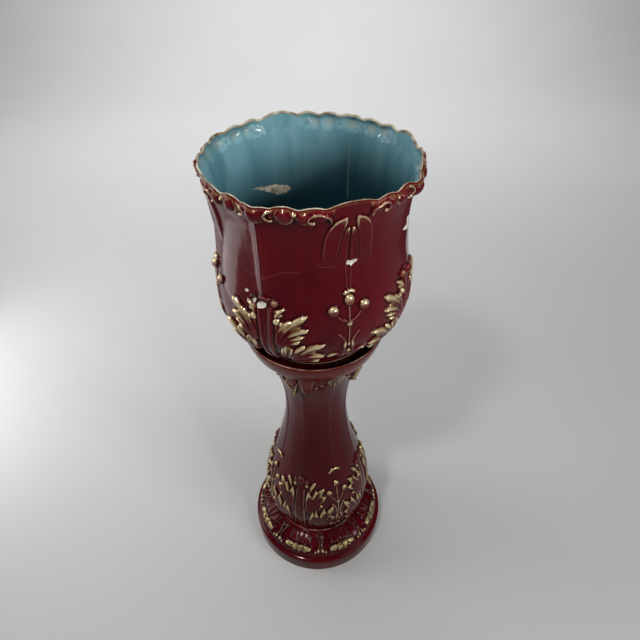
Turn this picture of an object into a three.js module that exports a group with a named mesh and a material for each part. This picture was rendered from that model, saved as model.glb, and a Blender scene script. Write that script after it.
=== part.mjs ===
// Glazed earthenware jardiniere on its pedestal, in millimetres, +Z up.
// Origin: on the axis, at the level of the pedestal's foot ring.
// Angles are measured from -Y (the front of the jardiniere), positive towards +X.
import * as THREE from 'three';

// ---- driving dimensions ------------------------------------------------
const STAND_HEIGHT = 660;        // floor to the top edge of the dish
const DISH_FLOOR = 650;          // level the jardiniere's foot rests on
const GAP = 0.3;                 // between the foot and the dish floor
const RIM_LEVEL = 950;           // mean level of the jardiniere's lip
const CREST = 6.5;               // how far the lip rises in the middle of each side
const RIB_LIP = 8;               // how far the lip runs out at each corner
const WALL = 7;                  // jardiniere wall
const LIP = 5;                   // its thickness at the lip
const DISH_THICKNESS = 10;       // floor of the dish
const STAND_WALL = 8;            // pedestal wall
const FOOT_R = 98;               // jardiniere foot ring, outside
const FOOT_RING = 15;            // width of the foot ring
const FOOT_RECESS = 4;           // hollow under the jardiniere inside its foot ring
const POT_FLOOR = 661;           // inside floor level of the jardiniere
const STAND_TURN = 5;            // degrees that the pedestal's pattern is turned from the jardiniere's
const SEG = 72;                  // facets round the axis

// ---- outer profiles [radius, height] ------------------------------------
const POT_OUT = [
  [FOOT_R, DISH_FLOOR + GAP], [99, 657], [104, 663], [117, 678], [132, 699],
  [142, 718], [147, 738], [148, 760], [146.5, 785], [142.5, 815], [139, 848],
  [138, 878], [139.5, 905], [142, 924], [148.5, 934], [151, 942], [150, RIM_LEVEL],
];
const STAND_OUT = [
  [153, 0], [153, 35], [151.5, 39.5], [147, 42.5], [144, 47], [142.5, 55], [134, 66],
  [113, 78], [99.5, 83.5], [89.5, 86], [90, 93], [97, 107], [105, 122], [110, 140],
  [112.5, 168], [110.5, 195], [106.5, 222], [98.5, 258], [88, 295], [77, 335], [68, 376],
  [61, 423], [59.3, 462], [62, 501], [70, 541], [83.5, 581], [100, 607], [113, 634],
  [120, STAND_HEIGHT],
];

// points of a profile moved in by the wall's thickness, square to the profile
const inset = (profile, wall, picks) => picks.map((i) => {
  const [r0, z0] = profile[i - 1], [r1, z1] = profile[i + 1], [r, z] = profile[i];
  const length = Math.hypot(r1 - r0, z1 - z0);
  return [r - wall * (z1 - z0) / length, z + wall * (r1 - r0) / length];
});
const smooth = (a, b, x) => {
  const t = Math.min(1, Math.max(0, (x - a) / (b - a)));
  return t * t * (3 - 2 * t);
};
// signed angle in degrees from the nearest of four equal positions
const fold = (deg, at) => ((((deg - at) % 90) + 135) % 90) - 45;
const bump = (d, w) => Math.exp(-((d / w) ** 2));

// how far the corner ribs stand out at a height
const ribRise = (z) => {
  const pts = [[690, 0], [795, 2], [815, 4.5], [832, 7], [850, 9], [885, 9.5], [910, 7.5], [932, 5], [942, 6], [960, RIB_LIP]];
  if (z <= pts[0][0]) return 0;
  for (let i = 1; i < pts.length; i++) {
    const [z0, r0] = pts[i - 1], [z1, r1] = pts[i];
    if (z <= z1) return r0 + (r1 - r0) * (z - z0) / (z1 - z0);
  }
  return RIB_LIP;
};
// leaf sprays at the corners of the jardiniere: one broad raised boss each
const potLeaves = (d, z) => 5.5 * (1 - smooth(16, 25, Math.abs(d))) * smooth(686, 716, z) * (1 - smooth(786, 806, z));
// berries and leaflets in the middle of each side
const potBerries = (d, z) => 3.5 * (1 - smooth(6, 13, Math.abs(d))) * smooth(745, 775, z) * (1 - smooth(815, 830, z));
const standLeaves = (d, z) => 6 * (1 - smooth(20, 32, Math.abs(d))) * smooth(122, 150, z) * (1 - smooth(255, 290, z));
// scroll brackets under the dish
const brackets = (d, z) => 13 * bump(d, 12) * smooth(548, 588, z) * (1 - smooth(618, 640, z));

// A profile revolved round the axis, each of its points then moved out by shape(deg, r, z, j).
function revolved(profile, shape) {
  const geometry = new THREE.LatheGeometry(profile.map(([r, z]) => new THREE.Vector2(r, z)), SEG);
  const position = geometry.getAttribute('position');
  for (let k = 0; k < position.count; k++) {
    const i = Math.floor(k / profile.length) % SEG, j = k % profile.length;
    const [r0, z0] = profile[j];
    const deg = (360 * i) / SEG;
    const [r, z] = r0 === 0 ? [0, z0] : shape(deg, r0, z0, j);
    const a = (deg * Math.PI) / 180;
    position.setXYZ(k, r * Math.sin(a), -r * Math.cos(a), z);
  }
  geometry.deleteAttribute('normal');
  geometry.deleteAttribute('uv');
  const index = geometry.getIndex().array;
  // the turn from Y up to Z up can flip the faces; the volume's sign says so
  let volume = 0;
  const p = position.array;
  for (let t = 0; t < index.length; t += 3) {
    const [a, b, c] = [index[t] * 3, index[t + 1] * 3, index[t + 2] * 3];
    volume += p[a] * (p[b + 1] * p[c + 2] - p[b + 2] * p[c + 1])
      - p[a + 1] * (p[b] * p[c + 2] - p[b + 2] * p[c])
      + p[a + 2] * (p[b] * p[c + 1] - p[b + 1] * p[c]);
  }
  if (volume < 0) for (let t = 0; t < index.length; t += 3) [index[t + 1], index[t + 2]] = [index[t + 2], index[t + 1]];
  geometry.computeVertexNormals();
  return geometry;
}

// ---- jardiniere -----------------------------------------------------------
// one thrown-looking shell: hollow under the foot, lobed wall with corner ribs, wavy lip
const potInside = [
  [POT_OUT[16][0] - LIP, RIM_LEVEL - 1], [141.5, 938],
  ...inset(POT_OUT, WALL, [12, 11, 10, 9, 7, 5, 4, 3]), [97, 667], [80, POT_FLOOR],
];
const potProfile = [
  [0, DISH_FLOOR + GAP + FOOT_RECESS], [FOOT_R - FOOT_RING - 2, DISH_FLOOR + GAP + FOOT_RECESS],
  [FOOT_R - FOOT_RING, DISH_FLOOR + GAP], ...POT_OUT, ...potInside, [0, POT_FLOOR],
];
const potOuterFrom = 3, potOuterTo = 3 + POT_OUT.length - 1;
const potShape = (deg, r, z, j) => {
  const rib = fold(deg, 45), mid = fold(deg, 0);
  const isLip = j === potOuterTo || j === potOuterTo + 1;
  let out = r;
  if (j >= potOuterFrom && j <= potOuterTo) {
    out += ribRise(z) * bump(rib, 5.5) + potLeaves(rib, z) + potBerries(mid, z);
    // beads and scrolls of the rim band
    if (z > 930 && !isLip) out += 3 * (1 - smooth(34, 44, Math.abs(mid)));
  } else if (j > potOuterTo) {
    out += 0.9 * ribRise(z) * bump(rib, 6);
  }
  const rise = smooth(925, RIM_LEVEL, z) * CREST * (1 - smooth(2, 13, Math.abs(mid)));
  return [out, z + rise];
};
const jardiniere = new THREE.Mesh(
  revolved(potProfile, potShape),
  new THREE.MeshStandardMaterial({ color: 0x4a0f14, roughness: 0.12, metalness: 0 }),
);
jardiniere.name = 'jardiniere';

// ---- pedestal ---------------------------------------------------------------
// one hollow shell, open underneath, closed at the top by a shallow dish
const standInside = [
  [50, DISH_FLOOR - DISH_THICKNESS], [49.5, 600],
  ...inset(STAND_OUT, STAND_WALL, [22, 21, 19, 17, 15, 14, 13, 12, 10, 9, 8, 7, 6, 5, 1]), [153 - STAND_WALL, 0],
];
const standProfile = [
  [0, DISH_FLOOR], [109, DISH_FLOOR], [113, DISH_FLOOR + 3], [115, STAND_HEIGHT],
  ...[...STAND_OUT].reverse(), ...[...standInside].reverse(), [0, DISH_FLOOR - DISH_THICKNESS],
];
const standOuterFrom = 4, standOuterTo = 4 + STAND_OUT.length - 1;
const standShape = (deg, r, z, j) => {
  const rib = fold(deg, 45 + STAND_TURN);
  let out = r;
  if (j >= standOuterFrom && j <= standOuterTo) out += standLeaves(rib, z) + brackets(rib, z);
  return [out, z];
};
const pedestal = new THREE.Mesh(
  revolved(standProfile, standShape),
  new THREE.MeshStandardMaterial({ color: 0x4a0f14, roughness: 0.12, metalness: 0 }),
);
pedestal.name = 'pedestal';

const group = new THREE.Group();
group.add(pedestal, jardiniere);
export default group;
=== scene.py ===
import math

import bpy
import numpy as np
from mathutils import Matrix, Vector


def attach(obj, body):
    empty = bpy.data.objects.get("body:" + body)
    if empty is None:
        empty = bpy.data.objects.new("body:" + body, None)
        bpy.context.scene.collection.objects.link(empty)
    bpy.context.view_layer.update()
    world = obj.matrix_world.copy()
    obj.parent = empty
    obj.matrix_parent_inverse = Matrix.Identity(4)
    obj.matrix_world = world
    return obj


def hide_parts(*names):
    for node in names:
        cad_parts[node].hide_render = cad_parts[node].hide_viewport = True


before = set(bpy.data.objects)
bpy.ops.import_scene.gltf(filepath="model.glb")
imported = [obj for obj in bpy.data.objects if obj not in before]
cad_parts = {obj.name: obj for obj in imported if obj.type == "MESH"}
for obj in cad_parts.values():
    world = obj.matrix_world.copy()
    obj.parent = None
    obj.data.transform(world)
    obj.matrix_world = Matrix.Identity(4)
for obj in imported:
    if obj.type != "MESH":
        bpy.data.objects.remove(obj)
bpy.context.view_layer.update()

# Glazed earthenware jardiniere on a pedestal. Work is in millimetres until the meshes are made.
# Angles are in degrees from -Y, positive towards +X. Each piece has four equal sides: a leaf
# spray climbs each corner (45, 135 ...) and berries on stems fill the middle of each side.
STAND_TURN = 5.0  # the pedestal's pattern is turned this far from the jardiniere's


# ------------------------------------------------------------------ maths
def smooth(a, b, x):
    t = np.clip((np.asarray(x, float) - a) / (b - a), 0.0, 1.0)
    return t * t * (3 - 2 * t)


def fold(deg, at, period=90.0):
    """Signed angle from the nearest of the equal positions at, at + period ..."""
    return (np.asarray(deg, float) - at + period / 2) % period - period / 2


def gauss(x, w):
    return np.exp(-((np.asarray(x, float) / w) ** 2))


def ripple(deg, z, seed, waves=((1, 0.011), (2, 0.017), (3, 0.007), (5, 0.023))):
    """Slow uneven wave round and up a piece, from -1 to 1, for the hand in hand-finished clay."""
    a = np.radians(deg)
    out = 0.0
    for i, (n, k) in enumerate(waves):
        out = out + np.sin(n * a + k * z * (1 + 0.3 * i) + seed * (1.7 + i * 2.3))
    return out / len(waves)


def curve(points, per=14):
    """A centripetal Catmull-Rom curve through the points."""
    p = np.asarray(points, float)
    if len(p) == 2:
        t = np.linspace(0, 1, per + 1)[:, None]
        return p[0] * (1 - t) + p[1] * t
    q = np.vstack([2 * p[0] - p[1], p, 2 * p[-1] - p[-2]])
    out = []
    for i in range(1, len(q) - 2):
        p0, p1, p2, p3 = q[i - 1 : i + 3]
        d1, d2, d3 = (max(np.linalg.norm(b - a), 1e-6) ** 0.5 for a, b in ((p0, p1), (p1, p2), (p2, p3)))
        m1 = (p1 - p0) / d1 - (p2 - p0) / (d1 + d2) + (p2 - p1) / d2
        m2 = (p2 - p1) / d2 - (p3 - p1) / (d2 + d3) + (p3 - p2) / d3
        m1, m2 = m1 * d2, m2 * d2
        t = np.linspace(0, 1, per, endpoint=False)[:, None]
        out.append((2 * t**3 - 3 * t**2 + 1) * p1 + (t**3 - 2 * t**2 + t) * m1 + (-2 * t**3 + 3 * t**2) * p2 + (t**3 - t**2) * m2)
    return np.vstack(out + [p[-1:]])


def blur(a, sigma, wrap):
    """Gaussian blur of a grid, in cells; the columns wrap round if wrap."""
    if sigma <= 0:
        return a
    r = int(math.ceil(3 * sigma))
    k = np.exp(-0.5 * (np.arange(-r, r + 1) / sigma) ** 2)
    k /= k.sum()
    p = np.pad(a, ((r, r), (0, 0)), mode="edge")
    a = sum(w * p[i : i + a.shape[0]] for i, w in enumerate(k))
    p = np.pad(a, ((0, 0), (r, r)), mode="wrap" if wrap else "edge")
    return sum(w * p[:, i : i + a.shape[1]] for i, w in enumerate(k))


def polygon(poly, u, v):
    """Whether each point is inside a closed outline, and how far it is from it."""
    inside = np.zeros(np.shape(u), bool)
    best = np.full(np.shape(u), 1e9)
    for a, b in zip(poly, np.roll(poly, -1, 0)):
        d = b - a
        cross = ((a[1] > v) != (b[1] > v)) & (u < (v - a[1]) * d[0] / (d[1] if d[1] else 1e-9) + a[0])
        inside ^= cross
        t = np.clip(((u - a[0]) * d[0] + (v - a[1]) * d[1]) / max(d @ d, 1e-9), 0, 1)
        best = np.minimum(best, np.hypot(u - a[0] - t * d[0], v - a[1] - t * d[1]))
    return inside, best


# ------------------------------------------------------------------ relief drawn on the unrolled wall
class Sheet:
    """One repeat of a band of relief, unrolled. x is degrees from the repeat's middle, v is mm up the wall.
    h is height off the wall in mm, g is how much ochre is brushed on."""

    def __init__(self, period, v0, v1, k, step=0.5, up=None):
        self.period, self.k = period, k
        self.nu = int(round(period * k / step))
        self.su = period * k / self.nu
        self.sv = step
        self.v0 = v0
        self.nv = int(round((v1 - v0) / step)) + 1
        self.h = np.zeros((self.nv, self.nu))
        self.g = np.zeros((self.nv, self.nu))
        self.up = up or (lambda v: v)

    def mm(self, points):
        return np.array([[x * self.k, self.up(v)] for x, v in points], float)

    def window(self, lo, hi, pad):
        """Grid indices (the columns wrapped) and mm coordinates of a box round some mm points."""
        half = self.period * self.k / 2
        i0 = int(math.floor((lo[0] - pad + half) / self.su))
        i1 = int(math.ceil((hi[0] + pad + half) / self.su))
        j0 = max(0, int(math.floor((lo[1] - pad - self.v0) / self.sv)))
        j1 = min(self.nv - 1, int(math.ceil((hi[1] + pad - self.v0) / self.sv)))
        if j1 < j0:
            return None
        i, j = np.arange(i0, i1 + 1), np.arange(j0, j1 + 1)
        u, v = np.meshgrid(i * self.su - half, j * self.sv + self.v0)
        return np.ix_(j, i % self.nu), u, v

    def lay(self, at, h, g):
        """Puts a shape on the sheet where it stands highest."""
        old = self.h[at]
        top = h > old
        self.h[at] = np.where(top, h, old)
        self.g[at] = np.where(top, g, self.g[at])

    def along(self, path, u, v):
        """For each cell, how far along the path (0 to 1) and how far to its side its nearest point is."""
        seg = np.diff(path, axis=0)
        length = np.maximum(np.hypot(*seg.T), 1e-9)
        start = np.concatenate([[0], np.cumsum(length)])
        best = np.full(u.shape, 1e9)
        t_out, side = np.zeros(u.shape), np.zeros(u.shape)
        for a, d, l, s0 in zip(path, seg, length, start):
            du, dv = u - a[0], v - a[1]
            t = np.clip((du * d[0] + dv * d[1]) / l**2, 0, 1)
            ru, rv = du - t * d[0], dv - t * d[1]
            dist = np.hypot(ru, rv)
            near = dist < best
            best = np.where(near, dist, best)
            t_out = np.where(near, (s0 + t * l) / start[-1], t_out)
            side = np.where(near, np.sign(d[0] * rv - d[1] * ru) * dist, side)
        return t_out, side, best

    def blade(self, p0, p1, w, h, bend=0.0, gild=(0.45, 0.8), base=0.0, groove=0.35, start=0.55, tail=1.0, mirror=True, widest=0.42, edge=0.0):
        """A leaf lobe from p0 to a pointed tip at p1: domed across, grooved along its middle."""
        for m in (1, -1) if mirror else (1,):
            a, b = self.mm([(p0[0] * m, p0[1]), (p1[0] * m, p1[1])])
            d = b - a
            mid = (a + b) / 2 + bend * m * np.array([-d[1], d[0]])
            t = np.linspace(0, 1, 15)[:, None]
            path = (1 - t) ** 2 * a + 2 * t * (1 - t) * mid + t**2 * b
            win = self.window(path.min(0), path.max(0), w + 2)
            if win is None:
                continue
            at, u, v = win
            t, s, _ = self.along(path, u, v)
            wt = np.where(
                t < widest,
                w * (start + (1 - start) * np.sin(np.pi / 2 * t / widest)),
                w * np.maximum(1 - ((t - widest) / (1 - widest)) ** 1.7, 0) ** 0.85,
            )
            q = np.abs(s) / np.maximum(wt, 1e-3)
            inside = q < 1
            dome = np.sqrt(np.maximum(1 - np.minimum(q, 1) ** 2.6, 0))
            hh = base + h * dome * (1 - groove * np.exp(-((s / (0.22 * w + 0.5)) ** 2))) * (0.75 + 0.25 * smooth(0, 0.3, t)) * (1 - (1 - tail) * smooth(0.6, 1, t))
            if edge:
                hh += edge * gauss(q - 0.86, 0.13)
            g = smooth(gild[0], gild[1], t + 0.12 * q * (t > 0.25))
            self.lay(at, np.where(inside, hh, -1), g)

    def stroke(self, points, w, h, gild=0.0, mirror=True, base=0.0, fade=(0.0, 0.0), add=False, smooth_path=True):
        """A rounded ridge along a path; add lays it on top of what is there."""
        for m in (1, -1) if mirror else (1,):
            path = self.mm([(x * m, v) for x, v in points])
            if smooth_path and len(path) > 2:
                path = curve(path, 6)
            win = self.window(path.min(0), path.max(0), w + 2)
            if win is None:
                continue
            at, u, v = win
            t, s, d = self.along(path, u, v)
            q = d / w
            k = np.ones_like(t)
            if fade[0]:
                k *= smooth(0, fade[0], t)
            if fade[1]:
                k *= 1 - smooth(1 - fade[1], 1, t)
            ridge = np.sqrt(np.maximum(1 - np.minimum(q, 1) ** 2, 0)) * h * k
            inside = (q < 1) & (k > 0.02)
            if add:
                self.h[at] = self.h[at] + np.where(inside, ridge, 0)
                self.g[at] = np.where(inside, np.maximum(self.g[at], gild * k), self.g[at])
            else:
                self.lay(at, np.where(inside, base + ridge, -1), gild * k)

    def ball(self, c, rx, rv, h, gild=0.0, mirror=True, base=0.0, tilt=0.0, rim=0.0, power=0.55, cap=None, foot=0.0):
        """A berry or bead: rx in degrees, rv in mm. rim rings it with a thin ridge; cap is the ochre at its top, foot at its bottom."""
        for m in (1, -1) if mirror and c[0] else (1,):
            centre = self.mm([(c[0] * m, c[1])])[0]
            ru = rx * self.k
            win = self.window(centre, centre, max(ru, rv) + 5)
            if win is None:
                continue
            at, u, v = win
            ca, sa = math.cos(math.radians(tilt * m)), math.sin(math.radians(tilt * m))
            du, dv = u - centre[0], v - centre[1]
            x, y = du * ca + dv * sa, -du * sa + dv * ca
            q = np.sqrt((x / ru) ** 2 + (y / rv) ** 2)
            g = gild + 0 * q
            if cap is not None:
                g = gild + (cap - gild) * smooth(0.0, 0.9, (y - 0.25 * x * m) / rv)
            if foot:
                g = np.maximum(g, foot * smooth(0.55, 0.98, -y / rv + 0.20 * q))
            self.lay(at, np.where(q < 1, base + h * np.maximum(1 - np.minimum(q, 1) ** 2, 0) ** power, -1), g)
            if rim:
                ring = (q - 1) * min(ru, rv)
                self.lay(at, np.where(np.abs(ring) < 1.5, base + rim * np.sqrt(np.maximum(1 - (ring / 1.5) ** 2, 0)), -1), 0.7 + 0 * q)

    def panel(self, rows, h, edge, gild_top, mirror=True):
        """A petal hanging down the wall: rows of (v, inner x, outer x), with thin raised edges, dying away at its foot."""
        rows = sorted(rows)
        vs = [self.up(r[0]) for r in rows]
        for m in (1, -1) if mirror else (1,):
            lo = np.array([min(r[1] for r in rows) * self.k, vs[0]])
            hi = np.array([max(r[2] for r in rows) * self.k, vs[-1]])
            if m < 0:
                lo[0], hi[0] = -hi[0], -lo[0]
            at, u, v = self.window(lo, hi, 3)
            a = np.interp(v, vs, [r[1] * self.k for r in rows])
            b = np.interp(v, vs, [r[2] * self.k for r in rows])
            x = u * m
            mid, half = (a + b) / 2, np.maximum((b - a) / 2, 0.2)
            q = np.abs(x - mid) / half
            f = smooth(vs[0], vs[0] + 0.45 * (vs[-1] - vs[0]), v)
            inside = (q < 1) & (v > vs[0]) & (v < vs[-1])
            d = (1 - q) * half
            top = smooth(vs[-1] - 0.26 * (vs[-1] - vs[0]), vs[-1] - 0.04 * (vs[-1] - vs[0]), v)
            hh = f * (h * np.minimum(d / 1.6, 1) ** 0.5 + edge * gauss(d - 1.2, 1.0))
            g = np.clip(gild_top * top * (0.62 + 0.38 * gauss(d, 3.0)), 0, 1)
            self.lay(at, np.where(inside, hh, -1), g)

    def leaf(self, outline, heart, h, gild, veins=(), fat=3.0, wide=3.4, gold_edge=0.0, gold=1.0, base=0.0, mirror=True, deep=0.38):
        """A lobed leaf, fullest along the veins that run out to its tips and folded in between them.
        Ochre starts gild[0] mm from the heart and is full at gild[1]; gold_edge keeps it that near to the edge."""
        for m in (1, -1) if mirror else (1,):
            poly = self.mm([(x * m, v) for x, v in outline])
            win = self.window(poly.min(0), poly.max(0), 2)
            if win is None:
                continue
            at, u, v = win
            inside, d = polygon(poly, u, v)
            c = self.mm([(heart[0] * m, heart[1])])[0]
            r = np.hypot(u - c[0], v - c[1])
            q = np.minimum(d / fat, 1)
            fold_ = np.ones(u.shape)
            if veins:
                fold_ = np.zeros(u.shape)
                for path in veins:
                    line = curve(self.mm([(x * m, z) for x, z in path]), 5)
                    t, _, e = self.along(line, u, v)
                    w = wide * (0.5 + 0.5 * t)
                    fold_ = np.maximum(fold_, gauss(e, w))
            fold_ = smooth(0.0, 0.75, fold_)
            hh = base + h * np.sqrt(1 - (1 - q) ** 2) * (1 - deep + deep * fold_)
            g = smooth(gild[0], gild[1], r) * (0.70 + 0.30 * fold_) * gold
            if gold_edge:
                g = g * (0.30 + 0.70 * gauss(np.maximum(d - 0.8, 0), gold_edge))
            self.lay(at, np.where(inside, np.maximum(hh, 0.4), -1), g)

    def finish(self, soften=0.55, wrap=True):
        """Rounds the relief as a thick glaze does, and works out where glaze is thin (edges) and pools (hollows)."""
        self.h = np.maximum(self.h, 0)
        self.h = blur(self.h, soften / self.sv, wrap)
        self.g = blur(self.g * (self.h > 0.15), 0.5 / self.sv, wrap)
        fine = self.h - blur(self.h, 1.6 / self.sv, wrap)
        broad = self.h - blur(self.h, 4.5 / self.sv, wrap)
        self.thin = np.clip(fine * 1.25 + broad * 0.12 - 0.06, 0, 1)
        self.pool = np.clip(-fine * 1.0 - broad * 0.20, 0, 1)
        self.back = blur(self.h, 1.3 / self.sv, wrap)
        return self

    def read(self, name, x, v):
        """Bilinear reading of a layer at degrees x and mm v up the wall."""
        a = getattr(self, name)
        i = (np.asarray(x) * self.k + self.period * self.k / 2) / self.su
        j = np.clip((np.asarray(v, float) - self.v0) / self.sv, 0, self.nv - 1.001) * np.ones_like(i)
        i0, j0 = np.floor(i).astype(int), np.floor(j).astype(int)
        fi, fj = i - i0, j - j0
        i0, i1 = i0 % self.nu, (i0 + 1) % self.nu
        return (a[j0, i0] * (1 - fi) + a[j0, i1] * fi) * (1 - fj) + (a[j0 + 1, i0] * (1 - fi) + a[j0 + 1, i1] * fi) * fj


class Profile:
    """A half section in mm, run from the axis under the piece, up the outside and down the inside."""

    def __init__(self, runs):
        pts = []
        for run in runs:
            c = curve(run)
            pts.append(c if not pts else c[1:])
        self.p = np.vstack(pts)
        self.s = np.concatenate([[0], np.cumsum(np.hypot(*np.diff(self.p, axis=0).T))])
        self.marks = []
        n = 0
        for run, c in zip(runs, pts):
            n += len(c)
            self.marks.append(self.s[n - 1])

    def at(self, s):
        r, z = np.interp(s, self.s, self.p[:, 0]), np.interp(s, self.s, self.p[:, 1])
        e = 0.8
        r0, z0 = np.interp(s - e, self.s, self.p[:, 0]), np.interp(s - e, self.s, self.p[:, 1])
        r1, z1 = np.interp(s + e, self.s, self.p[:, 0]), np.interp(s + e, self.s, self.p[:, 1])
        l = max(math.hypot(r1 - r0, z1 - z0), 1e-9)
        return r, z, (z1 - z0) / l, -(r1 - r0) / l

    def find(self, z, s0, s1):
        """Where between s0 and s1 the section reaches a height."""
        k = (self.s >= s0) & (self.s <= s1)
        zs, ss = self.p[k, 1], self.s[k]
        o = np.argsort(zs)
        return float(np.interp(z, zs[o], ss[o]))


LAYERS = ("gild", "thin", "pool", "inside", "lip", "bare", "chip", "crack", "split", "warm")


def revolve(name, rows, place):
    """A closed body from rings of points. rows is a list of (s, columns); place(deg, s) gives radius, height and layers."""
    verts, layers, start, faces = [], {k: [] for k in LAYERS}, [], []
    n = 0
    for s, cols in rows:
        start.append(n)
        if cols == 1:
            deg = np.zeros(1)
        else:
            deg = np.arange(cols) * 360.0 / cols
        r, z, lay = place(deg, s)
        a = np.radians(deg)
        verts.append(np.stack([r * np.sin(a), -r * np.cos(a), z * np.ones_like(a)], 1))
        for k in LAYERS:
            layers[k].append(np.broadcast_to(lay.get(k, 0.0), deg.shape))
        n += len(deg)
    start.append(n)
    quads, tris = [], []
    for i in range(len(rows) - 1):
        a, b = rows[i][1], rows[i + 1][1]
        p, q = start[i], start[i + 1]
        if a == b:
            j = np.arange(a)
            k = (j + 1) % a
            quads.append(np.stack([p + j, p + k, q + k, q + j], 1))
        elif a == 1:
            j = np.arange(b)
            tris.append(np.stack([np.full(b, p), q + (j + 1) % b, q + j], 1))
        elif b == 1:
            j = np.arange(a)
            tris.append(np.stack([p + j, p + (j + 1) % a, np.full(a, q)], 1))
        elif a == 2 * b:
            j = np.arange(b)
            k = (j + 1) % b
            f0, f1, f2 = p + 2 * j, p + 2 * j + 1, p + (2 * j + 2) % a
            c0, c1 = q + j, q + k
            tris += [np.stack([f0, f1, c0], 1), np.stack([f1, c1, c0], 1), np.stack([f1, f2, c1], 1)]
        elif b == 2 * a:
            j = np.arange(a)
            k = (j + 1) % a
            f0, f1, f2 = q + 2 * j, q + 2 * j + 1, q + (2 * j + 2) % b
            c0, c1 = p + j, p + k
            tris += [np.stack([c0, f1, f0], 1), np.stack([c0, c1, f1], 1), np.stack([c1, f2, f1], 1)]
        else:
            raise ValueError(f"rings of {a} and {b} columns do not join")
    v = np.vstack(verts) / 1000.0
    quads, tris = np.vstack(quads), np.vstack(tris) if tris else np.zeros((0, 3), int)
    mesh = bpy.data.meshes.new(name)
    mesh.vertices.add(len(v))
    mesh.vertices.foreach_set("co", v.astype(np.float32).ravel())
    loops = np.concatenate([quads.ravel(), tris.ravel()]).astype(np.int32)
    starts = np.concatenate([np.arange(len(quads)) * 4, len(quads) * 4 + np.arange(len(tris)) * 3]).astype(np.int32)
    mesh.loops.add(len(loops))
    mesh.loops.foreach_set("vertex_index", loops)
    mesh.polygons.add(len(starts))
    mesh.polygons.foreach_set("loop_start", starts)
    mesh.update(calc_edges=True)
    mesh.validate()
    mesh.polygons.foreach_set("use_smooth", np.ones(len(mesh.polygons), bool))
    for k in LAYERS:
        data = mesh.attributes.new(k, "FLOAT", "POINT").data
        data.foreach_set("value", np.concatenate(layers[k]).astype(np.float32))
    ob = bpy.data.objects.new(name, mesh)
    bpy.context.scene.collection.objects.link(ob)
    return ob


def ladder(spans):
    """Rows from spans of (s0, s1, spacing, columns)."""
    rows = []
    for s0, s1, gap, cols in spans:
        n = max(1, int(round((s1 - s0) / gap)))
        rows += [(s0 + (s1 - s0) * i / n, cols) for i in range(n)]
    rows.append((spans[-1][1], spans[-1][3]))
    return rows


def patch(deg, v, outlines, k):
    """0.5 on the edge of any of the closed outlines, more inside, less outside, over 4 mm each way."""
    best = np.full(deg.shape, -4.0)
    for outline in outlines:
        pts = np.array(outline, float)
        x0 = pts[:, 0].mean()
        if v < pts[:, 1].min() - 4 or v > pts[:, 1].max() + 4:
            continue
        poly = np.stack([(pts[:, 0] - x0) * k, pts[:, 1]], 1)
        u = fold(deg, x0, 360.0) * k
        inside, d = polygon(poly, u, np.full(u.shape, v))
        best = np.maximum(best, np.where(inside, 1, -1) * np.minimum(d, 4.0))
    return 0.5 + best / 8.0


# ================================================================== jardiniere
FOOT = 650.3
POT = Profile(
    [
        [(0, FOOT + 4), (60, FOOT + 4), (80, FOOT + 4)],
        [(80, FOOT + 4), (82.6, FOOT + 3.2), (83.6, FOOT + 0.6)],
        [(83.6, FOOT + 0.6), (85, FOOT), (96.5, FOOT), (98.2, FOOT + 0.9)],
        [
            (98.2, FOOT + 0.9), (98.6, 653.5), (99.2, 657), (104, 663.5), (117, 678), (132, 699), (142, 718), (147, 738), (148, 760),
            (146.5, 785), (142.5, 815), (139, 848), (137.8, 878), (139.3, 905), (142, 922), (144.2, 934), (146.0, 943),
        ],
        [(146.0, 943), (146.8, 946), (147.3, 948.6), (147.0, 950.0), (146.1, 950.6), (145.1, 950.1), (144.5, 948.4)],
        [
            (144.5, 948.4), (142.0, 940), (138.4, 928), (134.8, 912), (131.6, 888), (131.6, 862), (134, 826), (137.8, 795),
            (140.4, 760), (138.6, 730), (129, 706), (112, 683), (99, 669.5), (88, 663),
        ],
        [(88, 663), (80, 661.2), (68, 661), (30, 661), (0, 661)],
    ]
)
PM = POT.marks
POT_UP = lambda z: POT.find(z, PM[2], PM[3] + 5)
S_LIP0, S_LIP1 = PM[3], PM[4]


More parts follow.
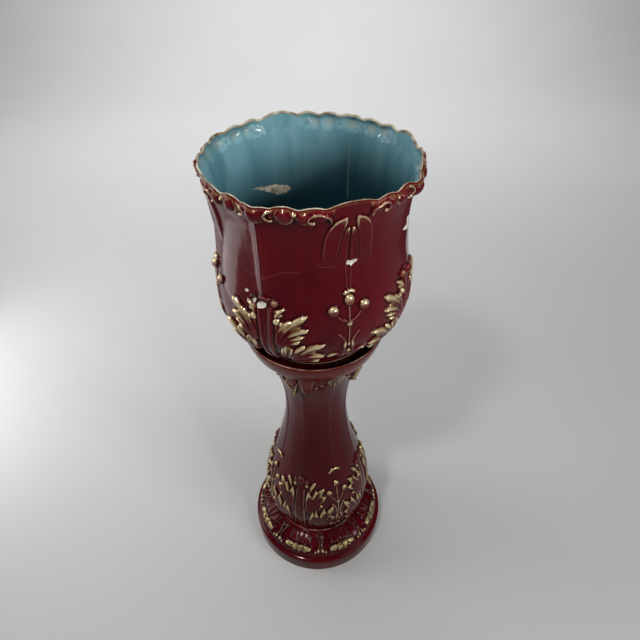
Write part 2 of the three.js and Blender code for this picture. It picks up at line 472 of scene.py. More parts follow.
def draw_pot():
    k = 148 * math.pi / 180
    sh = Sheet(90, PM[2], PM[4], k, 0.5, POT_UP)
    # x = 0 is the corner: a fluted stem with leaves either side of it
    sh.stroke([(0, 690), (0, 735), (0, 806)], 8.0, 2.6, gild=0.0, mirror=False)
    sh.stroke([(1.7, 692), (2.1, 725), (2.7, 760), (3.4, 802)], 3.9, 4.8, gild=0.0)
    sh.stroke([(2.6, 694), (3.2, 725), (4.2, 760), (5.2, 796)], 1.0, 1.7, gild=0.05, add=True, fade=(0.0, 0.2))
    sh.leaf(
        [(9, 704), (12.6, 724), (16.0, 735.5), (18.6, 741.2), (20.6, 742.8), (21.4, 739.2), (23.6, 743.2), (27.6, 745.6), (32.4, 743.6),
         (29.4, 738.0), (27.2, 732.5), (26.4, 727), (29.4, 723), (32.0, 717.5), (28.0, 713), (26.0, 708.5), (29.5, 702), (25, 694), (15, 692)],
        (15.5, 708), 5.6, (16, 34), [[(13, 704), (18, 724), (24, 737), (32, 743.4)], [(14, 704), (20, 715), (26, 720), (31.5, 717.6)], [(13, 704), (15.5, 726), (20.2, 742)], [(14, 700), (22, 703), (29, 702)]],
        gold=0.95,
    )
    sh.leaf([(5.8, 710), (7.0, 726), (8.2, 735.5), (10.5, 743.0), (12.6, 737.5), (14.6, 732), (14.0, 722), (12.8, 710)], (9.5, 708), 6.0, (12, 27), [[(8.0, 710), (8.6, 733)], [(9.6, 710), (10.5, 742)], [(11.5, 710), (14, 731)]], wide=2.4)
    # the large cut leaf beside the stem
    sh.leaf(
        [(4.8, 738), (4.8, 768), (5.8, 777), (8.6, 775.5), (10.0, 779.5), (12.6, 785.2), (14.4, 785.6), (16.6, 790.2), (19.8, 795.0), (23.2, 794.2),
         (21.8, 788), (20.4, 782), (18.0, 777.3), (19.6, 774.0), (23.4, 771.6), (22.0, 766.4), (18.0, 763.4), (19.0, 761.4), (21.2, 759.2),
         (19.0, 754.6), (15.8, 752.8), (18.8, 751.0), (17.8, 746.0), (14.6, 741.4), (10.5, 736), (7, 734)],
        (7.5, 750), 6.0, (11, 31),
        [[(6.5, 742), (10, 766), (15.5, 782), (22.8, 794)], [(7, 742), (13, 760), (18, 768), (23.2, 771.6)], [(7.5, 740), (14, 754), (21.0, 759.2)], [(7.5, 738), (13, 747), (18.6, 750.6)], [(5.6, 742), (7.6, 764), (13.4, 784.6)]],
        fat=3.0,
    )
    sh.leaf([(4.6, 788), (4.8, 797.5), (6.6, 800), (8.6, 801.8), (10.8, 803.8), (11.4, 801.4), (10.4, 798.4), (9.4, 795.4), (9.9, 792), (9.2, 789.4), (7.4, 789), (6, 786)], (4.6, 789), 6.0, (2, 10), [[(5.6, 789), (8, 797), (11, 803)], [(5.6, 788), (9.6, 790.6)]], wide=2.2)
    sh.ball((6.5, 781.0), 2.1, 6.6, 7.0, gild=0.8, tilt=-8)
    sh.ball((9.1, 777.4), 1.7, 4.4, 6.2, gild=0.85)
    # the bud that tops the spray
    sh.ball((0, 810.5), 4.3, 8.6, 7.6, gild=0.05, foot=0.4)
    sh.ball((5.4, 808.6), 2.4, 6.0, 6.6, gild=0.08, cap=0.22, foot=0.35)
    # x = 45 is the middle of a side: petals hang from the lip, with berries under them
    mid = Sheet(90, PM[2], PM[4], k, 0.5, POT_UP)
    mid.panel(
        [(858, 6.0, 13.9), (870, 5.9, 14.0), (880, 5.8, 14.0), (890, 5.5, 13.8), (899, 5.0, 13.5), (907, 4.4, 13.0), (914, 3.7, 12.3), (920, 3.1, 11.4),
         (925, 2.6, 10.3), (929, 2.3, 9.2), (932, 2.2, 7.9), (934.6, 2.2, 6.2), (936.6, 2.4, 3.8)],
        3.0, 0.9, 0.52,
    )
    mid.panel([(858, 1.4, 5.7), (876, 1.1, 5.6), (888, 0.8, 5.3), (898, 0.6, 4.9), (906, 0.5, 4.3), (913, 0.5, 3.6), (918, 0.5, 2.9), (921.6, 0.6, 1.9)], 2.4, 0.9, 0.34)
    mid.stroke([(0.5, 912), (0.8, 896), (1.3, 876), (1.3, 856), (1.0, 831)], 1.1, 1.9, gild=0.0)
    mid.stroke([(-2.5, 823.4), (-1.2, 825.6), (1.2, 826.2), (2.5, 824.2)], 2.6, 4.8, gild=0.85, mirror=False)
    mid.ball((0.0, 812.3), 3.05, 9.0, 7.2, gild=0.12, cap=1.0, mirror=False)
    mid.ball((8.6, 798.5), 3.15, 8.4, 6.8, gild=0.06, cap=1.0, tilt=-18)
    mid.stroke([(6.6, 791), (4.2, 783.2), (0.6, 778.0)], 1.3, 2.6, gild=0.12)
    mid.stroke([(0, 804), (0, 775), (0.1, 740)], 1.4, 2.8, gild=0.2, mirror=False)
    mid.ball((0, 775), 1.9, 4.4, 4.2, gild=0.3, mirror=False)
    mid.stroke([(6.7, 761), (4.8, 756.0), (3.2, 749.5), (2.0, 742), (1.7, 733)], 1.15, 2.6, gild=0.16, fade=(0.12, 0.0))
    mid.leaf([(1.2, 715), (1.0, 738), (1.7, 744.2), (3.4, 738), (4.6, 727), (4.2, 715)], (2.4, 712), 3.8, (14, 34), [[(2.6, 715), (1.9, 743)]], gold=0.6, wide=2.2)
    mid.ball((0.0, 737), 1.0, 6.0, 4.0, gild=0.35, mirror=False)
    mid.ball((0.3, 722.5), 1.7, 5.0, 4.4, gild=0.5, mirror=False)
    mid.leaf([(0.8, 716), (5.4, 722), (9.6, 721), (12.4, 713), (8.4, 706), (3.6, 704)], (3, 711), 3.6, (8, 22), [[(2, 712), (7, 718), (12, 714)]], gold=0.7)
    mid.blade((0.4, 712), (3.4, 690), 5.0, 2.8, bend=0.1, gild=(0.8, 1.3))
    # rim band: beads and scrolls, x from the middle of the side
    mid.stroke([(9.8, 945.4), (20, 945.0), (30, 945.0), (45, 945.0)], 4.2, 2.6, gild=0.1, smooth_path=False)
    mid.ball((15.1, 940.6), 4.1, 9.4, 3.4, gild=0.0)
    mid.ball((22.3, 940.6), 3.6, 9.6, 7.4, gild=0.0, rim=2.6, foot=0.7)
    mid.stroke([(17.6, 934.4), (19.2, 934.8), (20.2, 938.0), (19.9, 941.6), (18.0, 944.4), (15.2, 945.4), (12.6, 944.2), (11.0, 941), (10.2, 936.5), (10.0, 929.5)], 0.95, 5.2, gild=0.30, fade=(0.0, 0.12), base=2.4)
    mid.ball((18.0, 934.6), 0.9, 2.6, 5.6, gild=0.8)
    mid.ball((26.4, 946.0), 1.2, 3.6, 6.0, gild=0.8)
    mid.ball((31.1, 940.8), 4.0, 9.2, 8.0, gild=0.0, rim=4.0, foot=0.6)
    mid.stroke([(36.2, 948.0), (38.4, 946.6), (39.8, 941.6), (38.8, 936.0), (36.6, 934.8)], 1.45, 6.4, gild=0.45)
    mid.ball((37.0, 941.0), 1.3, 4.6, 4.8, gild=0.05)
    mid.ball((45, 939.8), 5.2, 11.0, 7.6, gild=0.0, mirror=False, power=0.5, rim=2.4, foot=0.85)
    shift = int(round(mid.nu / 2))
    h2, g2 = np.roll(mid.h, shift, 1), np.roll(mid.g, shift, 1)
    top = h2 > sh.h
    sh.h, sh.g = np.where(top, h2, sh.h), np.where(top, g2, sh.g)
    return sh.finish(0.5)


POT_RELIEF = draw_pot()
RISE = np.array([[690, 0], [795, 2], [815, 4.5], [832, 7], [850, 9], [885, 9.5], [910, 7.5], [932, 5], [942, 6], [960, 8]], float)
LIP_WAVE = curve(
    [(-6, 4.6), (0, 7.0), (4, 6.2), (8, 3.6), (12.2, 0.4), (16.5, 3.2), (20.4, 2.4), (24.6, -0.5), (30, 3.2), (34, 2.4), (37.6, -0.5), (41, 0.9), (45, 0.2), (49, 0.9)], 12
)
POT_CHIPS = [
    [(-1.7, 866), (-0.9, 870), (2.0, 870.6), (5.2, 870.6), (4.5, 867), (2.4, 864), (1.6, 861), (0.4, 864), (-0.9, 864.2)],
    [(-49.6, 799.5), (-48.6, 804.5), (-46.6, 808.8), (-44.6, 809.6), (-43.4, 806.5), (-43.8, 801.5), (-46.2, 797.6), (-48.4, 797.4)],
    [(-53.0, 801.6), (-52.4, 806.5), (-50.8, 810.4), (-49.8, 808.6), (-50.6, 802.5), (-51.6, 800.2)],
    [(-58.6, 811.4), (-58.2, 815.4), (-56.4, 816.6), (-55.8, 813.4), (-57.0, 810.6)],
    [(38.6, 900), (41.6, 898), (42.0, 887), (41.4, 880), (37.2, 879.5), (37.8, 884), (39.2, 888)],
    [(138.6, 772), (139.6, 775), (141, 772), (140.2, 768.5)],
    [(-135.8, 846), (-134.6, 849), (-133.4, 846), (-134.4, 843.4)],
]
FLAKE = [[(-153.6, 853.7), (-159, 852.4), (-165, 849.2), (-170.4, 848.6), (-176.4, 845.4), (-182.6, 841.6), (-184.4, 835), (-181.4, 828.2), (-174.6, 827.4), (-168.8, 835.2), (-163.6, 843.2), (-158.6, 848.6)]]
POT_CRACKS = [
    [(-60, 843), (-53, 842.5), (-47, 846), (-40, 850), (-35, 856), (-24, 858.5)],
    [(-18.5, 865), (-16, 866.5), (-13, 865.4), (-10.5, 865), (-8, 866), (-5.8, 862.8)],
]


def crack_line(deg, s, cracks):
    """The signed distance up the wall to a crack, 0.5 on it, and where there is one."""
    x = fold(deg, 0, 360.0)
    line, on = np.zeros_like(deg), np.zeros_like(deg)
    for pts in cracks:
        xs = [p[0] for p in pts]
        ss = np.array([POT_UP(p[1]) for p in pts])
        d = (s - np.interp(x, xs, ss) - 0.5 * np.sin(x * 1.9) - 0.3 * np.sin(x * 4.3)) / 8.0
        here = smooth(xs[0], xs[0] + 3, x) * (1 - smooth(xs[-1] - 3, xs[-1], x)) * (np.abs(d) < 0.5)
        line = np.where(here > 0, 0.5 + d, line)
        on = np.maximum(on, here)
    return line, on


def place_pot(deg, s):
    r, z, nr, nz = POT.at(s)
    rib, mid = fold(deg, 45), fold(deg, 0)
    # one rib was pulled a little out of true in the making
    lean = gauss(fold(deg, 45, 360.0), 26) * float(smooth(815, 860, z))
    rib = rib + 5.0 * lean
    one = np.ones_like(deg)
    outer = PM[2] < s <= S_LIP0
    lip = S_LIP0 < s <= S_LIP1
    inner = S_LIP1 < s <= PM[5]
    lay = {}
    dr, dn, dz = 0 * one, 0 * one, 0 * one
    rise = float(np.interp(z, RISE[:, 0], RISE[:, 1]))
    # narrow ribs that broaden as they run out into the lip
    ridge = 0.6 * gauss(rib, 2.8) + 0.4 * gauss(rib, 8.5)
    ridge = ridge + (0.95 * gauss(rib, 6.2) - ridge) * smooth(922, 944, z)
    if outer or lip:
        dr += rise * ridge * (1 - 0.30 * lean * (1 - smooth(925, 945, z)))
    if inner:
        dr += 0.9 * rise * (0.35 * gauss(rib, 2.6) + 0.65 * gauss(rib, 7.5))
    if outer or lip or inner:
        near_lip = smooth(934, 950, z)
        dz += np.interp(np.abs(mid), LIP_WAVE[:, 0], LIP_WAVE[:, 1]) * near_lip * (1 + 0.15 * ripple(deg, 0, 3.0))
        dr += near_lip * (1.4 * gauss(np.abs(mid) - 18, 6) + 1.2 * gauss(mid, 5) + 0.5 * ripple(deg, 0, 8.0, ((7, 0), (11, 0), (16, 0))))
    if outer or lip or (inner and z > 900):
        dr += 0.9 * ripple(deg, z, 1.3) * smooth(700, 800, z)
    x = rib + 0.35 * ripple(deg, z, 5.1)
    v = s + 0.5 * ripple(deg, z, 2.2)
    if outer or lip:
        k = float(1 - smooth(S_LIP0 + 2.2, S_LIP0 + 6.8, s))
        h = POT_RELIEF.read("h", x, v) * k
        # one blossom has lost its top: a rough dark hollow where it broke away
        broken = gauss(fold(deg, -47.5, 360.0), 7.5) * float(np.exp(-(((s - POT_UP(809)) / 8.5) ** 2)))
        broken = smooth(0.30, 0.75, broken)
        h = h * (1 - broken) + broken * (2.0 + 0.8 * np.sin(deg * 1.9 + s * 0.8) * np.sin(deg * 1.3 - s * 0.5))
        chip = patch(deg, z, POT_CHIPS, 2.5) if outer else 0 * one
        dn += h - 1.5 * smooth(0.5, 0.66, chip)
        lay["gild"] = POT_RELIEF.read("g", x, v) * k * (1 - broken)
        # Painted highlight: a light line down the right flank of each rib, from 815 to 940 mm up.
        lay["thin"] = np.clip(POT_RELIEF.read("thin", x, v) * k + 0.62 * gauss(rib - 0.9, 0.6) * smooth(815, 850, z) * (1 - smooth(930, 940, z)), 0, 1)
        lay["pool"] = np.clip(POT_RELIEF.read("pool", x, v) * k + 0.9 * broken, 0, 1)
        lay["chip"] = chip
        if outer:
            lay["crack"], lay["split"] = crack_line(deg, s, POT_CRACKS)
        lay["warm"] = 0.30 * smooth(922, 942, z) * one
        lay["gild"] = np.maximum(lay["gild"], 0.50 * float(gauss(s - S_LIP0 - 4.8, 1.3)))
    if lip:
        lay["lip"] = one * float(smooth(S_LIP0 + 5.6, S_LIP0 + 8.6, s))
    if inner:
        back = POT_RELIEF.read("back", rib, POT.find(min(z, 945), PM[2], PM[3])) if z > 700 else 0
        dn -= back * (0.10 + 0.60 * smooth(905, 930, z) * (0.12 + 0.88 * smooth(11.5, 17.5, np.abs(mid)))) * (1 - smooth(944, 948, z))
        lay["inside"] = one
        # Painted highlight: a light line down each inner crease.
        line = gauss(rib + 0.4 * np.sin(z * 0.05), 0.55) * float(smooth(800, 830, z) * (1 - smooth(912, 932, z)))
        lay["thin"] = np.clip(0.09 * back * smooth(918, 930, z) * (1 - smooth(940, 948, z)) + 0.42 * line, 0, 1) * one
        lay["lip"] = one * float(1 - smooth(S_LIP1 - 0.4, S_LIP1 + 1.2, s))
        lay["chip"] = patch(deg, z, FLAKE, 2.33)
        # Painted shade: a dark band beside each inner crease.
        lay["pool"] = np.clip(0.22 * gauss(rib - 2.0, 1.6) * smooth(700, 760, z), 0, 1) * one
    if s > PM[5]:
        lay["inside"] = one
    if s <= PM[2]:
        lay["bare"] = one
    if PM[2] < s < PM[2] + 4:
        lay["bare"] = one * float(1 - smooth(PM[2] + 0.5, PM[2] + 3, s))
    return r + dr + dn * nr, np.maximum(z + dz + dn * nz, FOOT), lay


def pot_rows():
    s1, s2 = POT_UP(688), POT_UP(826)
    s3, s4 = POT_UP(858), POT_UP(920)
    rows = [(0.0, 1)]
    rows += ladder([(12, PM[0], 12, 160), (PM[0], PM[1], 1.4, 160), (PM[1], PM[2], 2.2, 160)])[:-1]
    rows += ladder([(PM[2], PM[2] + 6, 1.5, 320), (PM[2] + 6, s1, 3.0, 320)])[:-1]
    rows += ladder([(s1, s2, 1.25, 640), (s2, s3, 2.0, 640), (s3, s4, 2.2, 640), (s4, S_LIP0, 1.05, 640), (S_LIP0, S_LIP1, 0.9, 640)])[:-1]
    rows += ladder([(S_LIP1, S_LIP1 + 34, 1.7, 640)])[:-1]
    s5, s6 = POT.find(862, PM[4], PM[5]), POT.find(820, PM[4], PM[5])
    rows += ladder([(S_LIP1 + 34, s5, 4.0, 320), (s5, s6, 1.3, 640), (s6, PM[5] - 60, 5.0, 320), (PM[5] - 60, PM[5], 4.0, 320)])[:-1]
    rows += ladder([(PM[5], PM[6] - 14, 9, 160)])
    rows.append((PM[6], 1))
    return rows


# ================================================================== pedestal
STAND = Profile(
    [
        [(0, 640), (30, 640), (47, 640)],
        [
            (47, 640), (49.4, 637), (49.5, 620), (49.5, 541), (50.9, 470), (53, 423), (60, 376), (69.3, 333), (80, 296), (90.5, 257), (98.5, 220),
            (102.5, 190), (104.4, 165), (102.4, 142), (97.6, 125), (89.5, 109), (82.7, 96), (83.4, 86), (87, 79.4), (97, 75.6), (109.4, 70.6),
            (122, 64.2), (131, 57.8), (137.5, 50), (142, 40), (144.6, 30), (145, 12), (145, 1.2),
        ],
        [(145, 1.2), (146.2, 0), (151.4, 0), (152.8, 1.4)],
        [(152.8, 1.4), (153, 12), (153, 34), (152.4, 38), (150.6, 40.6), (147.5, 42)],
        [(147.5, 42), (145.2, 43.2), (144.2, 45.6), (143.9, 50), (142.6, 55), (139.2, 61), (133.5, 66.4), (124, 72.4), (112, 78.2), (103.5, 81.6)],
        [(103.5, 81.6), (101.4, 82.2), (100.3, 84.3), (98.3, 85.4), (96.4, 84.6), (95.4, 83.2)],
        [(95.4, 83.2), (92, 83.6), (89.8, 85), (89, 88), (89.8, 92.4)],
        [
            (89.8, 92.4), (92.5, 99), (97, 107.5), (102.5, 117), (106.6, 125), (108.4, 130.5), (110.4, 141), (112.2, 160), (112.2, 176), (110.6, 195),
            (106.6, 222), (98.6, 258), (88.3, 295), (77.2, 335), (68, 376), (61.2, 423), (59.4, 462), (61.8, 501), (69.0, 541), (81, 581), (95, 607), (104.5, 619),
        ],
        [(104.5, 619), (107.5, 621.2), (110.6, 625), (114.4, 634), (118.2, 646), (120.2, 655), (120.3, 658.2), (119.0, 659.8), (117.2, 659.3), (115.8, 657.2), (113.6, 652.5)],
        [(113.6, 652.5), (112, 650.6), (109, 650), (60, 650), (0, 650)],
    ]
)
SM = STAND.marks
SB0, SB1 = SM[6], SM[7]  # the body, from above the beads to under the dish
BODY_UP = lambda z: STAND.find(z, SB0, SM[8])


def draw_body():
    """The pedestal's leaf relief. x = 0 is a corner, 45 the middle of a side; v is mm up the wall."""
    k = 106 * math.pi / 180
    sh = Sheet(90, SB0, SB1, k, 0.5, BODY_UP)
    # stem
    sh.stroke([(0, 132), (0, 200), (0, 276)], 10.0, 3.4, gild=0.0, mirror=False)
    sh.stroke([(5.6, 134), (5.2, 190), (4.5, 262)], 1.1, 3.8, gild=0.34)
    # lower leaf
    sh.leaf(
        [(9.5, 146), (10.6, 170), (12.4, 186), (14.8, 198.5), (16.6, 190.0), (18.6, 204), (20.6, 190), (21.8, 183), (23.8, 195), (27.8, 209.5),
         (29.2, 202), (30.4, 197), (33.6, 206.5), (38.6, 212.5), (38.8, 203), (36.4, 192), (34.6, 182.0), (39.2, 174.4), (36.8, 163), (34.0, 153), (38.0, 146), (30, 136), (16, 135)],
        (21.5, 152), 6.2, (16, 44),
        [[(18, 142), (15.5, 168), (14.8, 197)], [(19.5, 142), (18.4, 174), (18.6, 203)], [(21.5, 142), (24, 178), (27.8, 208.5)], [(23.5, 142), (30, 178), (38.3, 211.5)], [(24, 142), (31, 161), (38.8, 174.2)], [(24, 138), (31, 145), (37.6, 146)]],
        gold_edge=4.2, gold=0.85, wide=4.4, deep=0.20,
    )
    # upper leaf
    sh.leaf(
        [(6.6, 203), (6.4, 236), (7.6, 250), (10.4, 262.5), (12.6, 252), (14.4, 246), (16.4, 254.5), (18.8, 264), (21.0, 261), (23.7, 266.6), (29.8, 269.5),
         (27.6, 259.5), (25.8, 251), (27.8, 248), (31.4, 246.6), (29.4, 238), (26.4, 229.5), (24.2, 225), (27.4, 220), (23.4, 214), (20, 207), (15, 200)],
        (10.5, 216), 6.4, (14, 40),
        [[(8.4, 206), (9, 234), (10.4, 261)], [(9.6, 206), (14, 238), (18.6, 263)], [(10.8, 206), (19, 240), (29.3, 269)], [(12, 206), (20, 229), (31, 246.5)], [(12.5, 204), (19, 214), (27.0, 220)]],
        gold_edge=4.4, gold=0.85, wide=4.4, deep=0.20,
    )
    sh.leaf([(9.6, 262), (11.2, 273), (13, 279.5), (15.6, 283.6), (19.4, 284.6), (18.4, 277), (17.0, 270), (15.6, 262), (12.6, 258)], (12, 260), 5.6, (5, 18), [[(12.5, 260), (14, 272), (19, 284)]], gold=0.85)
    sh.ball((7.8, 274.5), 2.2, 5.6, 6.0, gild=0.6)
    sh.ball((0, 287), 5.4, 10.0, 7.4, gild=0.0, foot=0.4)
    sh.ball((7.2, 284), 3.0, 6.4, 6.4, gild=0.05, foot=0.5)
    mid = Sheet(90, SB0, SB1, k, 0.5, BODY_UP)
    # berries on their stem under a collar, and the twin line that runs up the shaft
    mid.stroke([(1.5, 600), (2.1, 560), (2.3, 500), (2.1, 420), (1.9, 360), (1.6, 318)], 1.7, 1.0, gild=0.0)
    mid.stroke([(-7.0, 306.5), (-3.5, 311), (3.5, 312.5), (7.0, 309)], 3.2, 4.4, gild=0.7, mirror=False)
    mid.ball((0, 273), 4.3, 9.6, 6.8, gild=0.05, cap=0.8, mirror=False)
    mid.ball((9.6, 251), 4.0, 9.0, 6.4, gild=0.05, cap=0.8, tilt=-15)
    mid.stroke([(7.5, 242.5), (5, 233), (0.8, 223)], 1.4, 2.8, gild=0.2)
    mid.stroke([(0, 264), (0, 215), (0, 140)], 1.7, 2.9, gild=0.2, mirror=False)
    mid.ball((0, 222), 2.6, 6.0, 4.6, gild=0.3, mirror=False)
    mid.stroke([(8.6, 219), (5.6, 213.5), (3.2, 203), (1.9, 188), (1.7, 170)], 1.3, 3.4, gild=0.36, fade=(0.1, 0.0))
    mid.leaf([(1.6, 138), (1.4, 172), (2.4, 181), (4.6, 172), (6.4, 158), (6.0, 138)], (3.4, 136), 4.2, (20, 46), [[(3.8, 138), (2.4, 180)]], gold=0.5)
    mid.ball((0, 160), 1.7, 9.0, 4.6, gild=0.35, mirror=False)
    mid.ball((0, 138), 2.4, 6.0, 4.2, gild=0.3, mirror=False)
    # small ochre palmette where the twin line meets the dish
    for x, v in ((9.5, 580), (5.5, 568), (0.0, 560)):
        mid.blade((x * 0.45, 606), (x, v), 4.8, 3.8, gild=(0.0, 0.9), mirror=bool(x), groove=0.2)
    mid.ball((0, 607), 4.0, 6.0, 4.8, gild=0.35, mirror=False)
    shift = int(round(mid.nu / 2))
    h2, g2 = np.roll(mid.h, shift, 1), np.roll(mid.g, shift, 1)
    top = h2 > sh.h
    sh.h, sh.g = np.where(top, h2, sh.h), np.where(top, g2, sh.g)
    # brackets under the dish, at the corners: a lobe with a narrow wedge edged in ochre each side of it
    sh.blade((-4.0, 624), (-7.0, 545), 11.5, 8.0, gild=(9, 10), groove=0.0, widest=0.40, start=0.95, mirror=False)
    sh.leaf([(3.8, 622), (3.0, 598), (2.6, 578), (3.4, 563), (5.8, 553), (9.2, 547.5), (12.6, 548.6), (15.4, 554.6), (17.4, 565), (18.6, 580), (19.2, 600), (19.2, 622)], (10, 500), 9.0, (900, 990), fat=9.5, mirror=False)
    sh.blade((-16.5, 624), (-15.6, 572), 6.0, 5.0, gild=(9, 10), groove=0.0, widest=0.35, start=0.9, mirror=False)
    sh.stroke([(-7.1, 543), (-5.2, 555), (-2.6, 570), (1.6, 590)], 1.75, 4.6, gild=1.0, add=True, mirror=False)
    sh.stroke([(-7.1, 543), (-8.2, 557), (-9.3, 574), (-10.2, 596)], 1.75, 4.4, gild=1.0, add=True, mirror=False)
    sh.stroke([(-8.8, 577), (-6.2, 567), (-2.6, 572)], 1.2, 2.6, gild=0.9, add=True, mirror=False)
    sh.stroke([(-4.0, 549), (0.6, 555), (5.2, 552.0), (9.2, 546.6), (13.4, 549.4), (17.2, 560), (19.4, 576)], 0.9, 1.2, gild=0.30, add=True, mirror=False)
    sh.ball((22.0, 573.5), 1.7, 3.2, 6.0, gild=0.3)
    sh.ball((28.0, 585), 2.0, 3.4, 6.0, gild=0.30)
    sh.stroke([(10, 560), (15, 565.5), (20, 573), (25, 584), (29, 600), (31, 614)], 1.5, 2.6, gild=0.12)
    return sh.finish(0.5)


def draw_torus():
    """Loops and fanned palmettes round the foot, eight of each. x = 0 is a palmette, placed by radius."""
    k = 124 * math.pi / 180
    s0, s1 = SM[3], SM[4]
    part = (STAND.s >= s0) & (STAND.s <= s1)
    rr, ss = STAND.p[part, 0][::-1], STAND.s[part][::-1]
    at = lambda r: float(np.interp(r, rr, ss))
    sh = Sheet(45, s0, s1, k, 0.4)
    # a ragged ochre leaf lies along the edge
    sh.leaf(
        [(-13.0, at(133.0)), (-12.2, at(137.6)), (-9.8, at(136.2)), (-8.4, at(140.4)), (-6.0, at(137.6)), (-3.8, at(141.4)), (-1.0, at(138.0)), (1.6, at(141.6)), (4.4, at(138.4)),
         (7.6, at(141.0)), (8.8, at(137.0)), (12.2, at(138.2)), (13.0, at(133.0)), (9.6, at(130.8)), (6.8, at(132.0)), (4.0, at(128.6)), (0.8, at(131.4)), (-3.0, at(128.8)), (-5.8, at(131.6)), (-9.8, at(129.6))],
        (0, at(70)), 3.6, (1, 2), fat=2.6, gold=0.95, mirror=False,
    )
    for x, r, w, v, top, tilt in ((-8.8, 134.6, 4.4, 5.0, 2.2, 16), (-3.4, 135.4, 4.2, 5.6, 2.7, -12), (2.4, 135.0, 4.4, 5.8, 2.3, 14), (8.4, 134.6, 4.4, 5.0, 2.6, -16)):
        sh.ball((x, at(r)), w, v, top, gild=0.95, tilt=tilt, base=3.0, mirror=False, power=1.0)
    # petals above it
    sh.leaf([(0, at(128)), (1.8, at(121)), (3.0, at(112)), (3.2, at(105)), (1.8, at(101.5)), (-1.8, at(101.5)), (-3.2, at(105)), (-3.0, at(112)), (-1.8, at(121))], (0, at(118)), 3.6, (16, 90), fat=1.6, mirror=False)
    sh.leaf([(2.0, at(127)), (3.4, at(118)), (4.2, at(107)), (5.6, at(102)), (8.6, at(102.5)), (10.0, at(108)), (9.6, at(119)), (8.6, at(126))], (6, at(118)), 3.2, (20, 90), fat=1.6)
    sh.ball((0, at(113)), 1.9, 9.0, 2.6, gild=0.0, mirror=False, power=1.0)
    sh.stroke([(10.4, at(126)), (10.8, at(110)), (9.8, at(102.2))], 0.9, 4.4, gild=0.14)
    sh.stroke([(12.4, at(143)), (13.0, at(134)), (14.0, at(126))], 1.0, 2.4, gild=0.3, fade=(0.1, 0.4))
    # loops, drawn in to a point, that end in two ochre drops
    c = 22.5
    for m in (1, -1):
        sh.stroke([(c + 2.4 * m, at(139)), (c + 1.6 * m, at(133)), (c + 0.9 * m, at(127)), (c + 1.9 * m, at(119)), (c + 3.1 * m, at(110)), (c + 2.9 * m, at(104)), (c + 1.4 * m, at(101.2)), (c, at(100.8))], 1.2, 4.6, gild=0.26, mirror=False)
        sh.ball((c + 2.1 * m, at(137.0)), 1.4, 4.4, 5.8, gild=0.9, mirror=False, tilt=12 * m)
        sh.ball((c + 5.0 * m, at(139.0)), 1.3, 3.6, 3.8, gild=0.5, mirror=False, tilt=20 * m)
    sh.ball((c, at(110)), 1.7, 8.0, 2.4, gild=0.0, mirror=False)
    return sh.finish(0.4)


BODY_RELIEF, TORUS_RELIEF = draw_body(), draw_torus()
S_FILLET = BODY_UP(128.5)
S_DISH = float(STAND.s[np.argmin(np.hypot(STAND.p[:, 0] - 119.6, STAND.p[:, 1] - 659.4))])
NECK_LINE = np.array([(0, 552), (10, 560), (16, 567), (22, 577), (27, 592), (31, 612), (36, 622), (45, 628)], float)


